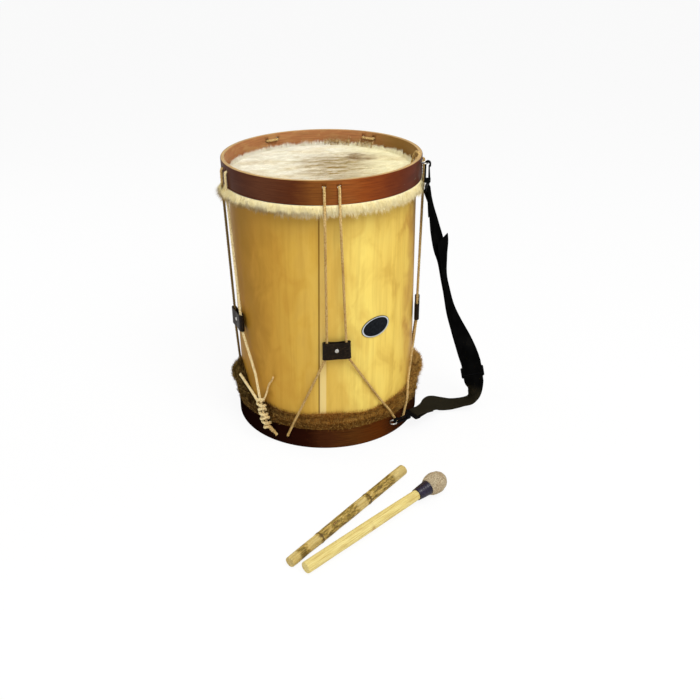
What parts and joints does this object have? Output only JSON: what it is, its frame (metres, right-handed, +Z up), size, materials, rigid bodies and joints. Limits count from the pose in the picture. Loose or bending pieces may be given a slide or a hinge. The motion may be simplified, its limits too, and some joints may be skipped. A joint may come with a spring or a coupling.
{
  "type": "rope-tensioned bass drum",
  "caption": "Upright rope-tensioned bass drum: wood shell, laced fur-edged hides, sliding leather tuners, hook-on webbing strap, stick and padded mallet.",
  "frame": {"origin": "centre of the whole object's bounding box in plan, on the floor", "axes": "+Z up along the drum's axis, -Y towards the front where the beaters lie, +X towards the shoulder strap"},
  "size_m": [0.4834, 0.6838, 0.5],
  "materials": {
    "shell_wood": "varnished golden wood",
    "inner_wood": "bare wood",
    "hoop_wood": "stained and varnished",
    "hide": "hair-on rawhide",
    "pale_hair": "short pale hair",
    "brown_hair": "short ginger and brown hair",
    "rope": "laid natural fibre rope",
    "tuner_leather": "dark oiled leather",
    "steel": "plated",
    "badge_enamel": "gloss black, blank",
    "webbing": "woven black webbing",
    "black_plastic": "moulded black",
    "bark_wood": "natural branch, partly barked",
    "handle_wood": "sanded pale wood",
    "tape": "black tape",
    "felt": "tan felt pad"
  },
  "bodies": {
    "drum": {"shell": "shell_wood", "top_reinforcing_ring": "inner_wood", "bottom_reinforcing_ring": "inner_wood", "top_hoop": "hoop_wood", "bottom_hoop": "hoop_wood", "top_hide": "hide", "bottom_hide": "hide", "top_flesh_hoop": "inner_wood", "bottom_flesh_hoop": "inner_wood", "top_fringe": "pale_hair", "bottom_fur_collar": "brown_hair", "rope_upper_left": "rope", "rope_upper_front": "rope", "rope_upper_right": "rope", "rope_upper_back_right": "rope", "rope_upper_back_left": "rope", "rope_lower_front_left": "rope", "rope_lower_front_right": "rope", "rope_lower_back_right": "rope", "rope_lower_back": "rope", "rope_lower_back_left": "rope", "rope_knot": "rope", "badge": "badge_enamel", "upper_strap_eye": "steel", "upper_hook": "black_plastic", "upper_hook_loop": "black_plastic", "lower_strap_eye": "steel", "lower_hook": "black_plastic", "lower_hook_loop": "black_plastic", "strap_upper_webbing": "webbing", "strap_lower_webbing": "webbing"},
    "tuner_left": {"tuner_left": "tuner_leather", "tuner_rivet_left": "steel"},
    "tuner_front": {"tuner_front": "tuner_leather", "tuner_rivet_front": "steel"},
    "tuner_right": {"tuner_right": "tuner_leather", "tuner_rivet_right": "steel"},
    "tuner_back_right": {"tuner_back_right": "tuner_leather", "tuner_rivet_back_right": "steel"},
    "tuner_back_left": {"tuner_back_left": "tuner_leather", "tuner_rivet_back_left": "steel"},
    "upper_gate": {"upper_hook_gate": "black_plastic"},
    "lower_gate": {"lower_hook_gate": "black_plastic"},
    "slider": {"strap_slider": "black_plastic"},
    "stick": {"stick": "bark_wood"},
    "mallet": {"mallet_handle": "handle_wood", "mallet_tape": "tape", "mallet_head": "felt"}
  },
  "joints": [
    {"name": "tuner_left_slide", "type": "slide", "parent": "drum", "child": "tuner_left", "axis": [0, 0, 1], "range_m": [-0.03, 0.08], "deforming": ["rope_upper_left", "rope_lower_front_left", "rope_lower_back_left"]},
    {"name": "tuner_front_slide", "type": "slide", "parent": "drum", "child": "tuner_front", "axis": [0, 0, 1], "range_m": [-0.03, 0.08], "deforming": ["rope_upper_front", "rope_lower_front_left", "rope_lower_front_right"]},
    {"name": "tuner_right_slide", "type": "slide", "parent": "drum", "child": "tuner_right", "axis": [0, 0, 1], "range_m": [-0.03, 0.08], "deforming": ["rope_upper_right", "rope_lower_front_right", "rope_lower_back_right"]},
    {"name": "tuner_back_right_slide", "type": "slide", "parent": "drum", "child": "tuner_back_right", "axis": [0, 0, 1], "range_m": [-0.03, 0.08], "deforming": ["rope_upper_back_right", "rope_lower_back_right", "rope_lower_back"]},
    {"name": "tuner_back_left_slide", "type": "slide", "parent": "drum", "child": "tuner_back_left", "axis": [0, 0, 1], "range_m": [-0.03, 0.08], "deforming": ["rope_upper_back_left", "rope_lower_back", "rope_lower_back_left"]},
    {"name": "upper_gate_hinge", "type": "hinge", "parent": "drum", "child": "upper_gate", "pos_m": [0.11936, 0.10803, 0.4631], "axis": [-0.284, -0.9588, 0], "range_deg": [0, 8], "stiffness_Nm_per_rad": 0.02, "springref_deg": -2.86},
    {"name": "lower_gate_hinge", "type": "hinge", "parent": "drum", "child": "lower_gate", "pos_m": [0.08438, 0.04089, 0.03225], "axis": [0.5446, -0.8387, 0], "range_deg": [0, 8], "stiffness_Nm_per_rad": 0.02, "springref_deg": -2.86},
    {"name": "slider_travel", "type": "slide", "parent": "drum", "child": "slider", "axis": [0.1908, 0, -0.9816], "range_m": [-0.02, 0.02], "deforming": ["strap_upper_webbing", "strap_lower_webbing"]},
    {"name": "stick_lift", "type": "slide", "parent": "drum", "child": "stick", "axis": [0, 0, 1], "range_m": [0, 0.3]},
    {"name": "mallet_lift", "type": "slide", "parent": "drum", "child": "mallet", "axis": [0, 0, 1], "range_m": [0, 0.3]}
  ]
}
